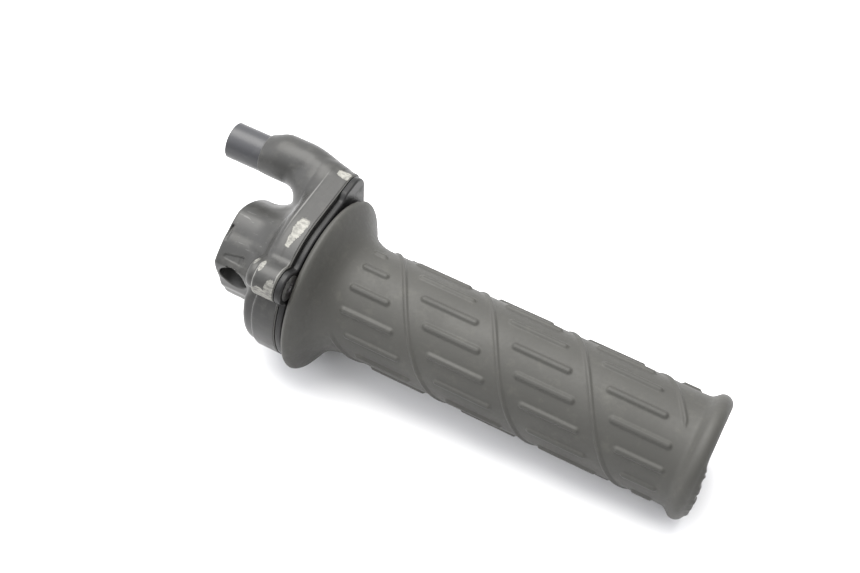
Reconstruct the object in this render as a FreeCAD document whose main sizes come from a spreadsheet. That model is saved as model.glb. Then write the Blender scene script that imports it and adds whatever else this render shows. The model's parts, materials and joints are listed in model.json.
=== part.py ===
import FreeCAD, Part
import os
import math
import Sketcher
from FreeCAD import Placement, Rotation, Vector

# Motorcycle throttle twist grip, millimetres.
# The handlebar axis is X. The grip's free end is towards +X, +Z is up,
# and the origin is on the bar axis in the middle of the handlebar clamp.

doc = FreeCAD.newDocument("throttle_grip")
sheet = doc.addObject("Spreadsheet::Sheet", "Sizes")

SIZES = [
    # handlebar clamp ring and the lug over it
    ("clamp_x", -7.0), ("clamp_r", 15.0), ("bar_bore_r", 11.1), ("relief_x", 8.3),
    ("lug_front_y", -17.2), ("lug_front_z", 13.6), ("lug_top_y", -9.0), ("lug_top_z", 19.6),
    ("lug_back_y", 5.0), ("lug_back_z", 18.6), ("lug_crown_r", 15.0),
    ("notch_depth", 1.0), ("notch_width", 4.0), ("notch_len", 6.0),
    # wedge bore that crosses above the bar
    ("wedge_bore_r", 4.8), ("wedge_x", -1.0), ("wedge_offset", 14.0), ("wedge_tilt", 25.0),
    ("wedge_depth", 11.4), ("wedge_bore_len", 15.0), ("wedge_start", 7.6), ("wedge_len", 6.5),
    ("clamp_screw_r", 2.0), ("clamp_head_r", 3.5), ("clamp_head_len", 4.0), ("clamp_shank_len", 15.0),
    ("clamp_thread_len", 7.0), ("clamp_washer_t", 1.0),
    # cable drum case
    ("case_x", 7.3), ("step_x", 11.0), ("case_end_x", 17.3), ("case_r", 25.0), ("case_inset", 1.0),
    ("crown_r", 27.0), ("corner_y", 18.0), ("corner_r", 6.0), ("corner_foot_z", 7.0),
    ("case_wall", 2.5), ("cavity_r", 22.0),
    ("boss_r", 5.4), ("boss_pcr", 26.7), ("boss_angle", 135.0),
    # cover
    ("gasket_t", 0.4), ("cover_t", 2.2), ("cover_bore_r", 14.6),
    ("screw_r", 2.0), ("screw_len", 8.0), ("screw_head_r", 4.0),
    # cable elbow
    ("pipe_y", 20.3), ("pipe_z", 20.0), ("pipe_r", 5.7), ("pipe_end_x", -23.5), ("joint_x", -12.2),
    ("socket_r", 4.3), ("socket_len", 8.0), ("elbow_r", 3.5), ("cable_r", 2.2), ("bend_r", 7.0),
    ("spigot_len", 4.0), ("channel_end_y", 6.0), ("channel_gap", 0.2),
    ("ferrule_end_x", 1.0), ("collar_x", -12.0), ("horn_r", 7.8), ("horn_shift", 0.4),
    # throttle tube, drum and washers
    ("tube_x", 10.1), ("tube_end_x", 143.3), ("tube_bore_r", 11.2), ("tube_r", 13.0),
    ("drum_x", 10.6), ("drum_end_x", 16.9), ("drum_r", 20.8), ("groove_r", 18.5), ("rim_t", 1.2),
    ("nipple_r", 2.6), ("washer_t", 0.5), ("washer_r", 17.0),
    # rubber grip
    ("grip_x", 20.3), ("grip_len", 124.6), ("grip_r", 17.0), ("bell_r", 27.4), ("bell_edge_r", 25.3),
    ("bell_len", 12.5), ("rim_r", 18.9), ("rim_len", 6.8), ("mouth_r", 12.2),
]
for row, (alias, value) in enumerate(SIZES, start=1):
    sheet.set("A%d" % row, alias)
    sheet.set("B%d" % row, str(value))
    sheet.setAlias("B%d" % row, alias)
doc.recompute()


def number(expression):
    """Value of an expression or plain number."""
    if isinstance(expression, (int, float)):
        return float(expression)
    result = sheet.evalExpression(expression)
    return float(getattr(result, "Value", result))


def bind(obj, prop, expression):
    """Drive a property from the sheet, or set it when it is a plain number."""
    if isinstance(expression, (int, float)):
        expression = str(expression)
    obj.setExpression(prop, expression)


def new_body(label):
    body = doc.addObject("PartDesign::Body", "Body_" + label)
    body.Label = label
    return body


def plane(body, role):
    for feature in body.Origin.OriginFeatures:
        if feature.Role == role:
            return feature
    raise RuntimeError(role)


def sketch_on(body, name, role, offset=0):
    """Empty sketch on an origin plane, moved along the plane's normal."""
    sketch = body.newObject("Sketcher::SketchObject", name)
    sketch.AttachmentSupport = (plane(body, role), [""])
    sketch.MapMode = "FlatFace"
    bind(sketch, "AttachmentOffset.Base.z", offset)
    return sketch


def circle(sketch, centre_a, centre_b, radius):
    index = sketch.addGeometry(
        Part.Circle(Vector(number(centre_a), number(centre_b), 0), Vector(0, 0, 1), number(radius)))
    constrain(sketch, Sketcher.Constraint("Radius", index, number(radius)), radius)
    constrain(sketch, Sketcher.Constraint("DistanceX", -1, 1, index, 3, number(centre_a)), centre_a)
    constrain(sketch, Sketcher.Constraint("DistanceY", -1, 1, index, 3, number(centre_b)), centre_b)
    return index


def constrain(sketch, constraint, expression):
    index = sketch.addConstraint(constraint)
    bind(sketch, "Constraints[%d]" % index, expression)


def outline(sketch, vertices):
    """Closed outline. A vertex is (a, b) for a line to the next one, or (a, b, r) for an arc:
    a positive r bulges to the left of the direction of travel."""
    points = [Vector(number(v[0]), number(v[1]), 0) for v in vertices]
    count = len(points)
    for i, vertex in enumerate(vertices):
        start, end = points[i], points[(i + 1) % count]
        if len(vertex) == 2:
            sketch.addGeometry(Part.LineSegment(start, end))
            continue
        radius = number(vertex[2])
        chord = end - start
        left = Vector(-chord.y, chord.x, 0).normalize()
        rise = abs(radius) - math.sqrt(radius ** 2 - (chord.Length / 2) ** 2)
        middle = (start + end) * 0.5 + left * math.copysign(rise, radius)
        sketch.addGeometry(Part.Arc(start, middle, end))
    ends = []
    for i, vertex in enumerate(vertices):
        near = sketch.getPoint(i, 1).distanceToPoint(points[i])
        far = sketch.getPoint(i, 2).distanceToPoint(points[i])
        ends.append((1, 2) if near < far else (2, 1))
    for i, vertex in enumerate(vertices):
        following = (i + 1) % count
        sketch.addConstraint(Sketcher.Constraint("Coincident", i, ends[i][1], following, ends[following][0]))
    for i, vertex in enumerate(vertices):
        point = ends[i][0]
        constrain(sketch, Sketcher.Constraint("DistanceX", -1, 1, i, point, points[i].x), vertex[0])
        constrain(sketch, Sketcher.Constraint("DistanceY", -1, 1, i, point, points[i].y), vertex[1])
        if len(vertex) == 3:
            radius = "abs(%s)" % vertex[2]
            constrain(sketch, Sketcher.Constraint("Radius", i, abs(number(vertex[2]))), radius)


def pad(body, sketch, length):
    feature = body.newObject("PartDesign::Pad", "Pad_" + sketch.Name)
    feature.Profile = sketch
    bind(feature, "Length", length)
    sketch.Visibility = False
    return feature


def pocket_forward(body, sketch, length):
    """Pocket that cuts along the sketch's own normal."""
    feature = body.newObject("PartDesign::Pocket", "Pocket_" + sketch.Name)
    feature.Profile = sketch
    feature.Reversed = True
    bind(feature, "Length", length)
    sketch.Visibility = False
    return feature


def revolve(body, sketch):
    feature = body.newObject("PartDesign::Revolution", "Revolution_" + sketch.Name)
    feature.Profile = sketch
    feature.ReferenceAxis = (sketch, ["H_Axis"])
    feature.Angle = 360.0
    sketch.Visibility = False
    return feature


def disc(body, name, x, length, radius, y=0, z=0):
    sketch = sketch_on(body, name, "YZ_Plane", x)
    circle(sketch, y, z, radius)
    return pad(body, sketch, length)


def hole(body, name, x, length, radius, y=0, z=0):
    sketch = sketch_on(body, name, "YZ_Plane", x)
    circle(sketch, y, z, radius)
    return pocket_forward(body, sketch, length)


def ring(label, x, length, outer_r, inner_r):
    body = new_body(label)
    sketch = sketch_on(body, label + "_section", "YZ_Plane", x)
    circle(sketch, 0, 0, outer_r)
    circle(sketch, 0, 0, inner_r)
    pad(body, sketch, length)
    return body


GROOVE_X = "(Sizes.drum_x + Sizes.drum_end_x) / 2"
BOSS_SIGNS = (1, -1)
BOSS_Y = "Sizes.boss_pcr * cos(Sizes.boss_angle)"
BOSS_Z = "Sizes.boss_pcr * sin(Sizes.boss_angle)"


def boss_at(sign):
    return "%d * %s" % (sign, BOSS_Y), "%d * %s" % (sign, BOSS_Z)


def case_layer(body, name, x, length, inset):
    """One slab of the drum case outline: round about the bar, with a flat-topped corner for the
    cable exit and a screw boss on each side."""
    disc(body, name + "_round", x, length, "Sizes.case_r - %s" % inset)
    for index, sign in enumerate(BOSS_SIGNS):
        y, z = boss_at(sign)
        disc(body, "%s_boss%d" % (name, index), x, length, "Sizes.boss_r - %s" % inset, y, z)
    crown = "(Sizes.crown_r - %s)" % inset
    side = "(Sizes.corner_y + Sizes.corner_r - %s)" % inset
    corner_r = "(Sizes.corner_r - %s)" % inset
    sketch = sketch_on(body, name + "_crown", "YZ_Plane", x)
    outline(sketch, [
        (0, 0),
        ("%s * cos(Sizes.boss_angle)" % crown, "%s * sin(Sizes.boss_angle)" % crown, crown),
        (0, crown),
        ("Sizes.corner_y", crown, corner_r),
        (side, "%s - %s" % (crown, corner_r)),
        (side, "Sizes.corner_foot_z"),
    ])
    pad(body, sketch, length)


# ---------------------------------------------------------------- housing casting
def make_housing_body():
    body = new_body("housing_body")
    disc(body, "clamp_ring", "Sizes.clamp_x", "Sizes.case_x - Sizes.clamp_x", "Sizes.clamp_r")
    lug = sketch_on(body, "clamp_lug", "YZ_Plane", "Sizes.clamp_x")
    outline(lug, [
        ("-Sizes.clamp_r * cos(8.1)", "-Sizes.clamp_r * sin(8.1)"),
        ("Sizes.lug_front_y", "Sizes.lug_front_z"),
        ("Sizes.lug_top_y", "Sizes.lug_top_z", "Sizes.lug_crown_r"),
        ("Sizes.lug_back_y", "Sizes.lug_back_z"),
        ("Sizes.clamp_r * cos(34)", "Sizes.clamp_r * sin(34)"),
        (0, 0),
    ])
    pad(body, lug, "Sizes.case_x - Sizes.clamp_x")
    case_layer(body, "case_shoulder", "Sizes.case_x", "Sizes.step_x - Sizes.case_x", "Sizes.case_inset")
    case_layer(body, "case_wall", "Sizes.step_x", "Sizes.case_end_x - Sizes.step_x", "0")
    make_horn(body)
    cut_housing(body)
    return body


def make_horn(body):
    """Horn round the cable elbow: a swollen barrel turned about the pipe's axis."""
    sketch = sketch_on(body, "horn_section", "XY_Plane", "Sizes.pipe_z + Sizes.horn_shift")
    bind(sketch, "AttachmentOffset.Base.y", "Sizes.pipe_y + Sizes.horn_shift")
    outline(sketch, [
        ("Sizes.collar_x", 0),
        ("Sizes.collar_x", "Sizes.pipe_r + 0.9", 4),
        ("Sizes.collar_x + 3", "Sizes.horn_r - 0.3", 40),
        ("Sizes.case_end_x - 5", "Sizes.horn_r - 1.2"),
        ("Sizes.case_end_x - 2", "Sizes.horn_r - 2.4"),
        ("Sizes.case_end_x - 2", 0),
    ])
    revolve(body, sketch)


def cut_housing(body):
    hole(body, "bar_bore", "Sizes.clamp_x", "Sizes.relief_x - Sizes.clamp_x", "Sizes.bar_bore_r")
    hole(body, "bar_bore_relief", "Sizes.relief_x", "Sizes.tube_x - Sizes.relief_x", "Sizes.tube_r")
    hole(body, "drum_cavity", "Sizes.case_x + Sizes.case_wall",
         "Sizes.case_end_x - Sizes.case_x - Sizes.case_wall", "Sizes.cavity_r")
    for index, sign in enumerate(BOSS_SIGNS):
        y, z = boss_at(sign)
        hole(body, "screw_thread_%d" % index, "Sizes.case_end_x + Sizes.gasket_t - Sizes.screw_len + 0.5",
             "Sizes.screw_len", "Sizes.screw_r", y, z)
    hole(body, "ferrule_seat", "Sizes.collar_x", "Sizes.ferrule_end_x - Sizes.collar_x",
         "Sizes.pipe_r", "Sizes.pipe_y", "Sizes.pipe_z")
    cut_elbow_channel(body)
    wedge_bore(body, "wedge_bore", "Sizes.wedge_bore_r", -2, "Sizes.wedge_bore_len + 2")
    wedge_bore(body, "wedge_screw_thread", "Sizes.clamp_screw_r", "Sizes.wedge_bore_len - 1",
               "Sizes.clamp_thread_len + 1")
    notch = body.newObject("PartDesign::SubtractiveBox", "index_notch")
    bind(notch, "Length", "Sizes.notch_depth")
    bind(notch, "Width", "Sizes.notch_width")
    bind(notch, "Height", "Sizes.notch_len")
    bind(notch, "Placement.Base.x", "Sizes.clamp_x")
    bind(notch, "Placement.Base.y", "Sizes.lug_top_y - Sizes.notch_width / 2")
    bind(notch, "Placement.Base.z", "Sizes.lug_top_z - 2")


def cut_elbow_channel(body):
    """Round channel for the elbow tube, in three lengths: along the bar, the bend, towards the drum."""
    radius = "Sizes.elbow_r + 0.05"
    bend_x = GROOVE_X + " - Sizes.bend_r"
    straight_r = radius + " + Sizes.channel_gap"
    hole(body, "channel_outer", "Sizes.ferrule_end_x - 1", bend_x + " - Sizes.ferrule_end_x + 1.4",
         straight_r, "Sizes.pipe_y", "Sizes.pipe_z")
    bend = body.newObject("PartDesign::SubtractiveTorus", "channel_bend")
    bind(bend, "Radius1", "Sizes.bend_r")
    bind(bend, "Radius2", radius)
    bend.Angle3 = 90.0
    bind(bend, "Placement.Base.x", bend_x)
    bind(bend, "Placement.Base.y", "Sizes.pipe_y - Sizes.bend_r")
    bind(bend, "Placement.Base.z", "Sizes.pipe_z")
    inner = body.newObject("PartDesign::SubtractiveCylinder", "channel_inner")
    bind(inner, "Radius", straight_r)
    bind(inner, "Height", "Sizes.pipe_y - Sizes.bend_r - Sizes.channel_end_y + 0.4")
    start = Vector(number(GROOVE_X), number("Sizes.channel_end_y"), number("Sizes.pipe_z"))
    inner.Placement = Placement(start, Rotation(Vector(1, 0, 0), -90))


def elbow_section(body, name, radius, x):
    sketch = sketch_on(body, name, "YZ_Plane", x)
    circle(sketch, "Sizes.pipe_y", "Sizes.pipe_z", radius)
    return sketch


def elbow_path(body, name, x):
    """Centre line of the elbow: along the bar and round the bend to face the drum's groove."""
    sketch = sketch_on(body, name, "XY_Plane", "Sizes.pipe_z")
    bend = number("Sizes.bend_r")
    start = Vector(number(x), number("Sizes.pipe_y"), 0)
    centre = Vector(number(GROOVE_X) - bend, start.y - bend, 0)
    sketch.addGeometry(Part.LineSegment(start, Vector(centre.x, start.y, 0)))
    round_bend = Part.Circle(centre, Vector(0, 0, 1), bend)
    sketch.addGeometry(Part.ArcOfCircle(round_bend, 0, math.pi / 2))
    sketch.addConstraint(Sketcher.Constraint("Tangent", 0, 2, 1, 2))
    constrain(sketch, Sketcher.Constraint("DistanceX", -1, 1, 0, 1, start.x), x)
    constrain(sketch, Sketcher.Constraint("DistanceY", -1, 1, 0, 1, start.y), "Sizes.pipe_y")
    sketch.addConstraint(Sketcher.Constraint("Horizontal", 0))
    constrain(sketch, Sketcher.Constraint("Radius", 1, bend), "Sizes.bend_r")
    constrain(sketch, Sketcher.Constraint("DistanceX", -1, 1, 1, 3, centre.x), GROOVE_X + " - Sizes.bend_r")
    constrain(sketch, Sketcher.Constraint("DistanceY", -1, 1, 1, 1, centre.y), "Sizes.pipe_y - Sizes.bend_r")
    sketch.Visibility = False
    return sketch


def wedge_frame(along):
    """Placement on the wedge bore's axis, a given distance in from its mouth."""
    tilt = math.radians(number("Sizes.wedge_tilt"))
    offset = number("Sizes.wedge_offset")
    inward = Vector(0, math.cos(tilt), math.sin(tilt))
    nearest = Vector(number("Sizes.wedge_x"), -offset * math.sin(tilt), offset * math.cos(tilt))
    mouth = nearest - inward * number("Sizes.wedge_depth")
    return Placement(mouth + inward * along, Rotation(Vector(0, 0, 1), inward))


def wedge_bore(body, name, radius, start, length):
    cut = body.newObject("PartDesign::SubtractiveCylinder", name)
    bind(cut, "Radius", radius)
    bind(cut, "Height", length)
    cut.Placement = wedge_frame(number(start))


# ---------------------------------------------------------------- cover, gasket and their screws
def make_cover():
    body = new_body("housing_cover")
    x = "Sizes.case_end_x + Sizes.gasket_t"
    case_layer(body, "cover", x, "Sizes.cover_t", "0")
    hole(body, "cover_bore", x, "Sizes.cover_t", "Sizes.cover_bore_r")
    for index, sign in enumerate(BOSS_SIGNS):
        cut = body.newObject("PartDesign::SubtractiveCone", "countersink_%d" % index)
        bind(cut, "Radius1", "Sizes.screw_r")
        bind(cut, "Radius2", "Sizes.screw_head_r")
        bind(cut, "Height", "Sizes.cover_t")
        cut.Placement = screw_frame(sign, number(x))


def make_gasket():
    body = new_body("cover_gasket")
    case_layer(body, "gasket", "Sizes.case_end_x", "Sizes.gasket_t", "0")
    hole(body, "gasket_cavity", "Sizes.case_end_x", "Sizes.gasket_t", "Sizes.cavity_r")
    for index, sign in enumerate(BOSS_SIGNS):
        y, z = boss_at(sign)
        hole(body, "gasket_screw_%d" % index, "Sizes.case_end_x", "Sizes.gasket_t", "Sizes.screw_r", y, z)


def screw_frame(sign, x):
    """Placement on a cover screw's axis, with the local Z along +X."""
    angle = math.radians(number("Sizes.boss_angle"))
    reach = sign * number("Sizes.boss_pcr")
    centre = Vector(x, reach * math.cos(angle), reach * math.sin(angle))
    return Placement(centre, Rotation(Vector(0, 1, 0), 90))


def primitive(kind, name, placement, **sizes):
    """Part primitive with its sizes driven from the sheet."""
    obj = doc.addObject(kind, name)
    for prop, expression in sizes.items():
        bind(obj, prop, expression)
    obj.Placement = placement
    return obj


def fuse(name, shapes):
    obj = doc.addObject("Part::MultiFuse", name)
    obj.Shapes = shapes
    return obj


def cut(name, base, tool):
    obj = doc.addObject("Part::Cut", name)
    obj.Base = base
    obj.Tool = tool
    return obj


def make_cover_screws():
    outer = number("Sizes.case_end_x + Sizes.gasket_t + Sizes.cover_t")
    screws = []
    for index, sign in enumerate(BOSS_SIGNS):
        tag = "cover_screw_%d_" % index
        head = primitive("Part::Cone", tag + "head", screw_frame(sign, outer - number("Sizes.cover_t")),
                         Radius1="Sizes.screw_r", Radius2="Sizes.screw_head_r", Height="Sizes.cover_t")
        start = outer - number("Sizes.cover_t") - number("Sizes.screw_len") + 1.0
        shank = primitive("Part::Cylinder", tag + "shank", screw_frame(sign, start),
                          Radius="Sizes.screw_r", Height="Sizes.screw_len")
        socket = primitive("Part::Prism", tag + "socket", screw_frame(sign, outer - 1.3),
                           Polygon=6, Circumradius="0.35 * Sizes.screw_head_r", Height=2)
        screws.append(cut(tag + "solid", fuse(tag + "blank", [head, shank]), socket))
    group = doc.addObject("Part::Compound", "cover_screws")
    group.Links = screws
    group.Label = "cover_screws"


# ---------------------------------------------------------------- handlebar wedge clamp
def make_wedge():
    start = number("Sizes.wedge_start")
    bar_axis = Placement(Vector(-20, 0, 0), Rotation(Vector(0, 1, 0), 90))
    blank = primitive("Part::Cylinder", "wedge_blank", wedge_frame(start),
                      Radius="Sizes.wedge_bore_r - 0.05", Height="Sizes.wedge_len")
    bar = primitive("Part::Cylinder", "wedge_bar_face", bar_axis, Radius="Sizes.bar_bore_r", Height=40)
    screw_hole = primitive("Part::Cylinder", "wedge_screw_hole", wedge_frame(start - 1),
                           Radius="Sizes.clamp_screw_r", Height="Sizes.wedge_len + 2")
    solid = cut("clamp_wedge", cut("wedge_saddle", blank, bar), screw_hole)
    solid.Label = "clamp_wedge"


def make_clamp_washer():
    start = number("Sizes.wedge_start - Sizes.clamp_washer_t")
    plate = primitive("Part::Cylinder", "clamp_washer_plate", wedge_frame(start),
                      Radius="Sizes.clamp_head_r", Height="Sizes.clamp_washer_t")
    screw_hole = primitive("Part::Cylinder", "clamp_washer_hole", wedge_frame(start - 1),
                           Radius="Sizes.clamp_screw_r", Height="Sizes.clamp_washer_t + 2")
    cut("clamp_washer", plate, screw_hole).Label = "clamp_washer"


def make_clamp_screw():
    head_end = number("Sizes.wedge_start - Sizes.clamp_washer_t")
    head_start = head_end - number("Sizes.clamp_head_len")
    head = primitive("Part::Cylinder", "clamp_screw_head", wedge_frame(head_start),
                     Radius="Sizes.clamp_head_r", Height="Sizes.clamp_head_len")
    shank = primitive("Part::Cylinder", "clamp_screw_shank", wedge_frame(head_end - 1),
                      Radius="Sizes.clamp_screw_r", Height="Sizes.clamp_shank_len + 1")
    socket = primitive("Part::Prism", "clamp_screw_socket", wedge_frame(head_start - 0.1),
                       Polygon=6, Circumradius="0.87 * Sizes.clamp_screw_r", Height=2.2)
    cut("clamp_screw", fuse("clamp_screw_blank", [head, shank]), socket).Label = "clamp_screw"


# ---------------------------------------------------------------- cable elbow
def make_elbow_tube():
    body = new_body("cable_elbow_tube")
    pipe = body.newObject("PartDesign::AdditivePipe", "elbow_wall")
    pipe.Profile = elbow_section(body, "elbow_wall_section", "Sizes.elbow_r", "Sizes.joint_x")
    pipe.Spine = elbow_path(body, "elbow_wall_path", "Sizes.joint_x")
    disc(body, "elbow_ferrule", "Sizes.joint_x", "Sizes.ferrule_end_x - Sizes.joint_x",
         "Sizes.pipe_r", "Sizes.pipe_y", "Sizes.pipe_z")
    bore = body.newObject("PartDesign::SubtractivePipe", "elbow_bore")
    bore.Profile = elbow_section(body, "elbow_bore_section", "Sizes.cable_r", "Sizes.joint_x")
    bore.Spine = elbow_path(body, "elbow_bore_path", "Sizes.joint_x")
    hole(body, "sleeve_seat", "Sizes.joint_x", "Sizes.spigot_len", "Sizes.socket_r - 0.7",
         "Sizes.pipe_y", "Sizes.pipe_z")


def make_inlet_sleeve():
    body = new_body("cable_inlet_sleeve")
    length = "(Sizes.joint_x - Sizes.pipe_end_x)"
    disc(body, "sleeve_wall", "Sizes.pipe_end_x", length, "Sizes.pipe_r", "Sizes.pipe_y", "Sizes.pipe_z")
    disc(body, "sleeve_spigot", "Sizes.joint_x", "Sizes.spigot_len", "Sizes.socket_r - 0.7",
         "Sizes.pipe_y", "Sizes.pipe_z")
    hole(body, "sleeve_socket", "Sizes.pipe_end_x", "Sizes.socket_len", "Sizes.socket_r",
         "Sizes.pipe_y", "Sizes.pipe_z")
    hole(body, "sleeve_bore", "Sizes.pipe_end_x", length + " + Sizes.spigot_len", "Sizes.cable_r",
         "Sizes.pipe_y", "Sizes.pipe_z")


# ---------------------------------------------------------------- twisting parts
def make_drum():
    body = new_body("cable_drum")
    sketch = sketch_on(body, "drum_section", "XY_Plane")
    outline(sketch, [
        ("Sizes.drum_x", "Sizes.tube_r"),
        ("Sizes.drum_x", "Sizes.drum_r"),
        ("Sizes.drum_x + Sizes.rim_t", "Sizes.drum_r"),
        ("Sizes.drum_x + Sizes.rim_t", "Sizes.groove_r"),
        ("Sizes.drum_end_x - Sizes.rim_t", "Sizes.groove_r"),
        ("Sizes.drum_end_x - Sizes.rim_t", "Sizes.drum_r"),
        ("Sizes.drum_end_x", "Sizes.drum_r"),
        ("Sizes.drum_end_x", "Sizes.tube_r"),
    ])
    revolve(body, sketch)
    nipple_y = "(Sizes.groove_r - 1) * cos(Sizes.boss_angle - 15)"
    nipple_z = "(Sizes.groove_r - 1) * sin(Sizes.boss_angle - 15)"
    hole(body, "nipple_pocket", "Sizes.drum_x + Sizes.rim_t", "Sizes.drum_end_x - Sizes.drum_x",
         "Sizes.nipple_r", nipple_y, nipple_z)


def make_grip_rubber():
    body = new_body("grip_rubber")
    sketch = sketch_on(body, "grip_section", "XY_Plane")
    end = "(Sizes.grip_x + Sizes.grip_len)"
    outline(sketch, [
        ("Sizes.grip_x", "Sizes.tube_r"),
        ("Sizes.grip_x", "Sizes.bell_edge_r - 0.6", 2.6),
        ("Sizes.grip_x + 1.8", "Sizes.bell_r", 3.0),
        ("Sizes.grip_x + 4", "Sizes.bell_r - 2", -16),
        ("Sizes.grip_x + Sizes.bell_len", "Sizes.grip_r"),
        ("%s - Sizes.rim_len - 1" % end, "Sizes.grip_r"),
        ("%s - Sizes.rim_len + 1" % end, "Sizes.rim_r - 0.3"),
        ("%s - 3" % end, "Sizes.rim_r", 3.2),
        (end, "Sizes.rim_r - 2.4"),
        (end, "Sizes.mouth_r"),
        ("%s - 1.6" % end, "Sizes.mouth_r"),
        ("%s - 1.6" % end, "Sizes.tube_r"),
    ])
    revolve(body, sketch)


def export_all():
    problems = []
    for obj in doc.Objects:
        if "Invalid" in obj.State or "Error" in obj.State:
            problems.append(obj.Name)
    nodes = {}
    for label in NODES:
        shape = doc.getObjectsByLabel(label)[0].Shape
        if shape.isNull() or not shape.isValid() or not shape.Solids:
            problems.append(label)
        nodes[label] = shape
    if problems:
        raise RuntimeError("broken objects: " + ", ".join(problems))
    os.makedirs("parts", exist_ok=True)
    for label, shape in nodes.items():
        shape.exportStep("parts/%s.step" % label)


NODES = [
    "housing_body", "housing_cover", "cover_gasket", "cover_screws", "clamp_wedge", "clamp_washer",
    "clamp_screw", "cable_elbow_tube", "cable_inlet_sleeve", "cover_seal", "throttle_tube", "cable_drum",
    "drum_inner_washer", "drum_outer_washer", "grip_rubber",
]

make_housing_body()
make_cover()
make_gasket()
make_cover_screws()
make_wedge()
make_clamp_washer()
make_clamp_screw()
make_elbow_tube()
make_inlet_sleeve()
ring("cover_seal", "Sizes.case_end_x + Sizes.gasket_t + 0.1", "Sizes.cover_t - 0.2",
     "Sizes.cover_bore_r", "Sizes.tube_r + 0.08")
ring("throttle_tube", "Sizes.tube_x", "Sizes.tube_end_x - Sizes.tube_x", "Sizes.tube_r", "Sizes.tube_bore_r")
make_drum()
ring("drum_inner_washer", "Sizes.drum_x - Sizes.washer_t", "Sizes.washer_t",
     "Sizes.washer_r", "Sizes.tube_r")
ring("drum_outer_washer", "Sizes.drum_end_x", "Sizes.washer_t", "Sizes.washer_r", "Sizes.tube_r")
make_grip_rubber()
doc.recompute()
export_all()
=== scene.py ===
import json
import math

import bpy
import numpy as np
from mathutils import Matrix, Vector


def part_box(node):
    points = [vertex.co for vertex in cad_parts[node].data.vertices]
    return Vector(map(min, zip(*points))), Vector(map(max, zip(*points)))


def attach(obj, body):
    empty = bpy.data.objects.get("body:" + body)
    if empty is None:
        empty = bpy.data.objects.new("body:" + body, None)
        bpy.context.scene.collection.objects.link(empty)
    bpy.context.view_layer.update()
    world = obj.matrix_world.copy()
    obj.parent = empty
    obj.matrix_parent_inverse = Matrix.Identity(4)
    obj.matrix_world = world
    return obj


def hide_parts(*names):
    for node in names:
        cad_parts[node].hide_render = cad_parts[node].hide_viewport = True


# Looks of the motorcycle throttle grip. Shapes are worked out in millimetres in the frame's axes:
# the handlebar axis is X, the grip's free end is towards +X and +Z is up. Meshes are in metres.

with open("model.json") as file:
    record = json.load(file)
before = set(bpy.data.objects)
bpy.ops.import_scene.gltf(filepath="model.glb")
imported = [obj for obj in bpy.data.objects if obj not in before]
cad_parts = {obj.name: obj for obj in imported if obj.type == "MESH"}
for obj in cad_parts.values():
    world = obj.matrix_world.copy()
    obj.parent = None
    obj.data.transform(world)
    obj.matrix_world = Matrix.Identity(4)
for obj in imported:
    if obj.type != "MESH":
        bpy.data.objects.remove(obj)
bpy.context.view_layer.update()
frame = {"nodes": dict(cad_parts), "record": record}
MM = 0.001


def box_mm(node):
    """Lowest and highest corner of a CAD node, in millimetres."""
    low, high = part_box(node)
    return np.array(low) / MM, np.array(high) / MM


# ---------------------------------------------------------------- sizes taken from the frame
mounts = {m["name"]: m for m in frame["record"]["mounts"]}
BAR_R = mounts["handlebar_clamp"]["dims"]["r_mm"]
INLET = np.array(mounts["cable_inlet"]["pos_m"]) / MM
PIPE_Y, PIPE_Z = INLET[1], INLET[2]

CASE_LOW = box_mm("housing_body")[0]
GASKET_LOW = box_mm("cover_gasket")[0]
COVER_LOW, COVER_HIGH = box_mm("housing_cover")
SLEEVE_LOW, SLEEVE_HIGH = box_mm("cable_inlet_sleeve")
GRIP_LOW, GRIP_HIGH = box_mm("grip_rubber")
TUBE_LOW, TUBE_HIGH = box_mm("throttle_tube")

PIPE_R = (SLEEVE_HIGH[1] - SLEEVE_LOW[1]) / 2
TUBE_R = (TUBE_HIGH[1] - TUBE_LOW[1]) / 2
COLLAR_X = CASE_LOW[0]
CASE_END_X = GASKET_LOW[0]
SHOULDER_X = CASE_END_X - 10.0
STEP_X = CASE_END_X - 6.3
CASE_R = -CASE_LOW[2]

# housing details that the CAD node has too
CLAMP_X, CLAMP_R = -7.0, 15.0
CROWN_R = 27.0
CORNER_Y, CORNER_R, CORNER_FOOT_Z = 18.0, 6.0, 7.0
CAVITY_R, CAVITY_WALL = 22.0, 2.5
COVER_BORE_R, SCREW_HEAD_R = 14.6, 4.0
BOSS_R, BOSS_REACH, BOSS_ANGLE = 5.4, 26.7, math.radians(135.0)
BOSS_Y, BOSS_Z = BOSS_REACH * math.cos(BOSS_ANGLE), BOSS_REACH * math.sin(BOSS_ANGLE)
BOSS_CENTRES = [(BOSS_Y, BOSS_Z), (-BOSS_Y, -BOSS_Z)]
WEDGE_X, WEDGE_OFFSET, WEDGE_TILT, WEDGE_R = -1.0, 14.0, math.radians(25.0), 4.8
WEDGE_BORE_END = 3.6

# ledge between the case's two steps, and the ramp that takes its place on top
LEDGE_INSET = 1.0
RAMP_CURVE, RAMP_END_X = 3.7, -1.0
# front edge and tilt of the slope above the wedge bore
SLOPE_Y, SLOPE_Z, SLOPE_TILT = -17.2, 13.6, math.radians(36.2)
# direction across the pipe in which the horn stands out from it
OUT_Y, OUT_Z = 0.82, 0.57


# ---------------------------------------------------------------- distance fields
def rounded_union(a, b, r):
    """Union of two distance fields with a fillet of radius r where they meet."""
    return np.maximum(np.minimum(a, b), r) - np.hypot(np.maximum(r - a, 0), np.maximum(r - b, 0))


def rounded_common(a, b, r):
    """What two distance fields have in common, with the edge between them rounded to radius r."""
    return np.minimum(np.maximum(a, b), -r) + np.hypot(np.maximum(r + a, 0), np.maximum(r + b, 0))


def rounded_cut(a, b, r):
    """a with b taken away, the new edge rounded to radius r."""
    return rounded_common(a, -b, r)


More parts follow.
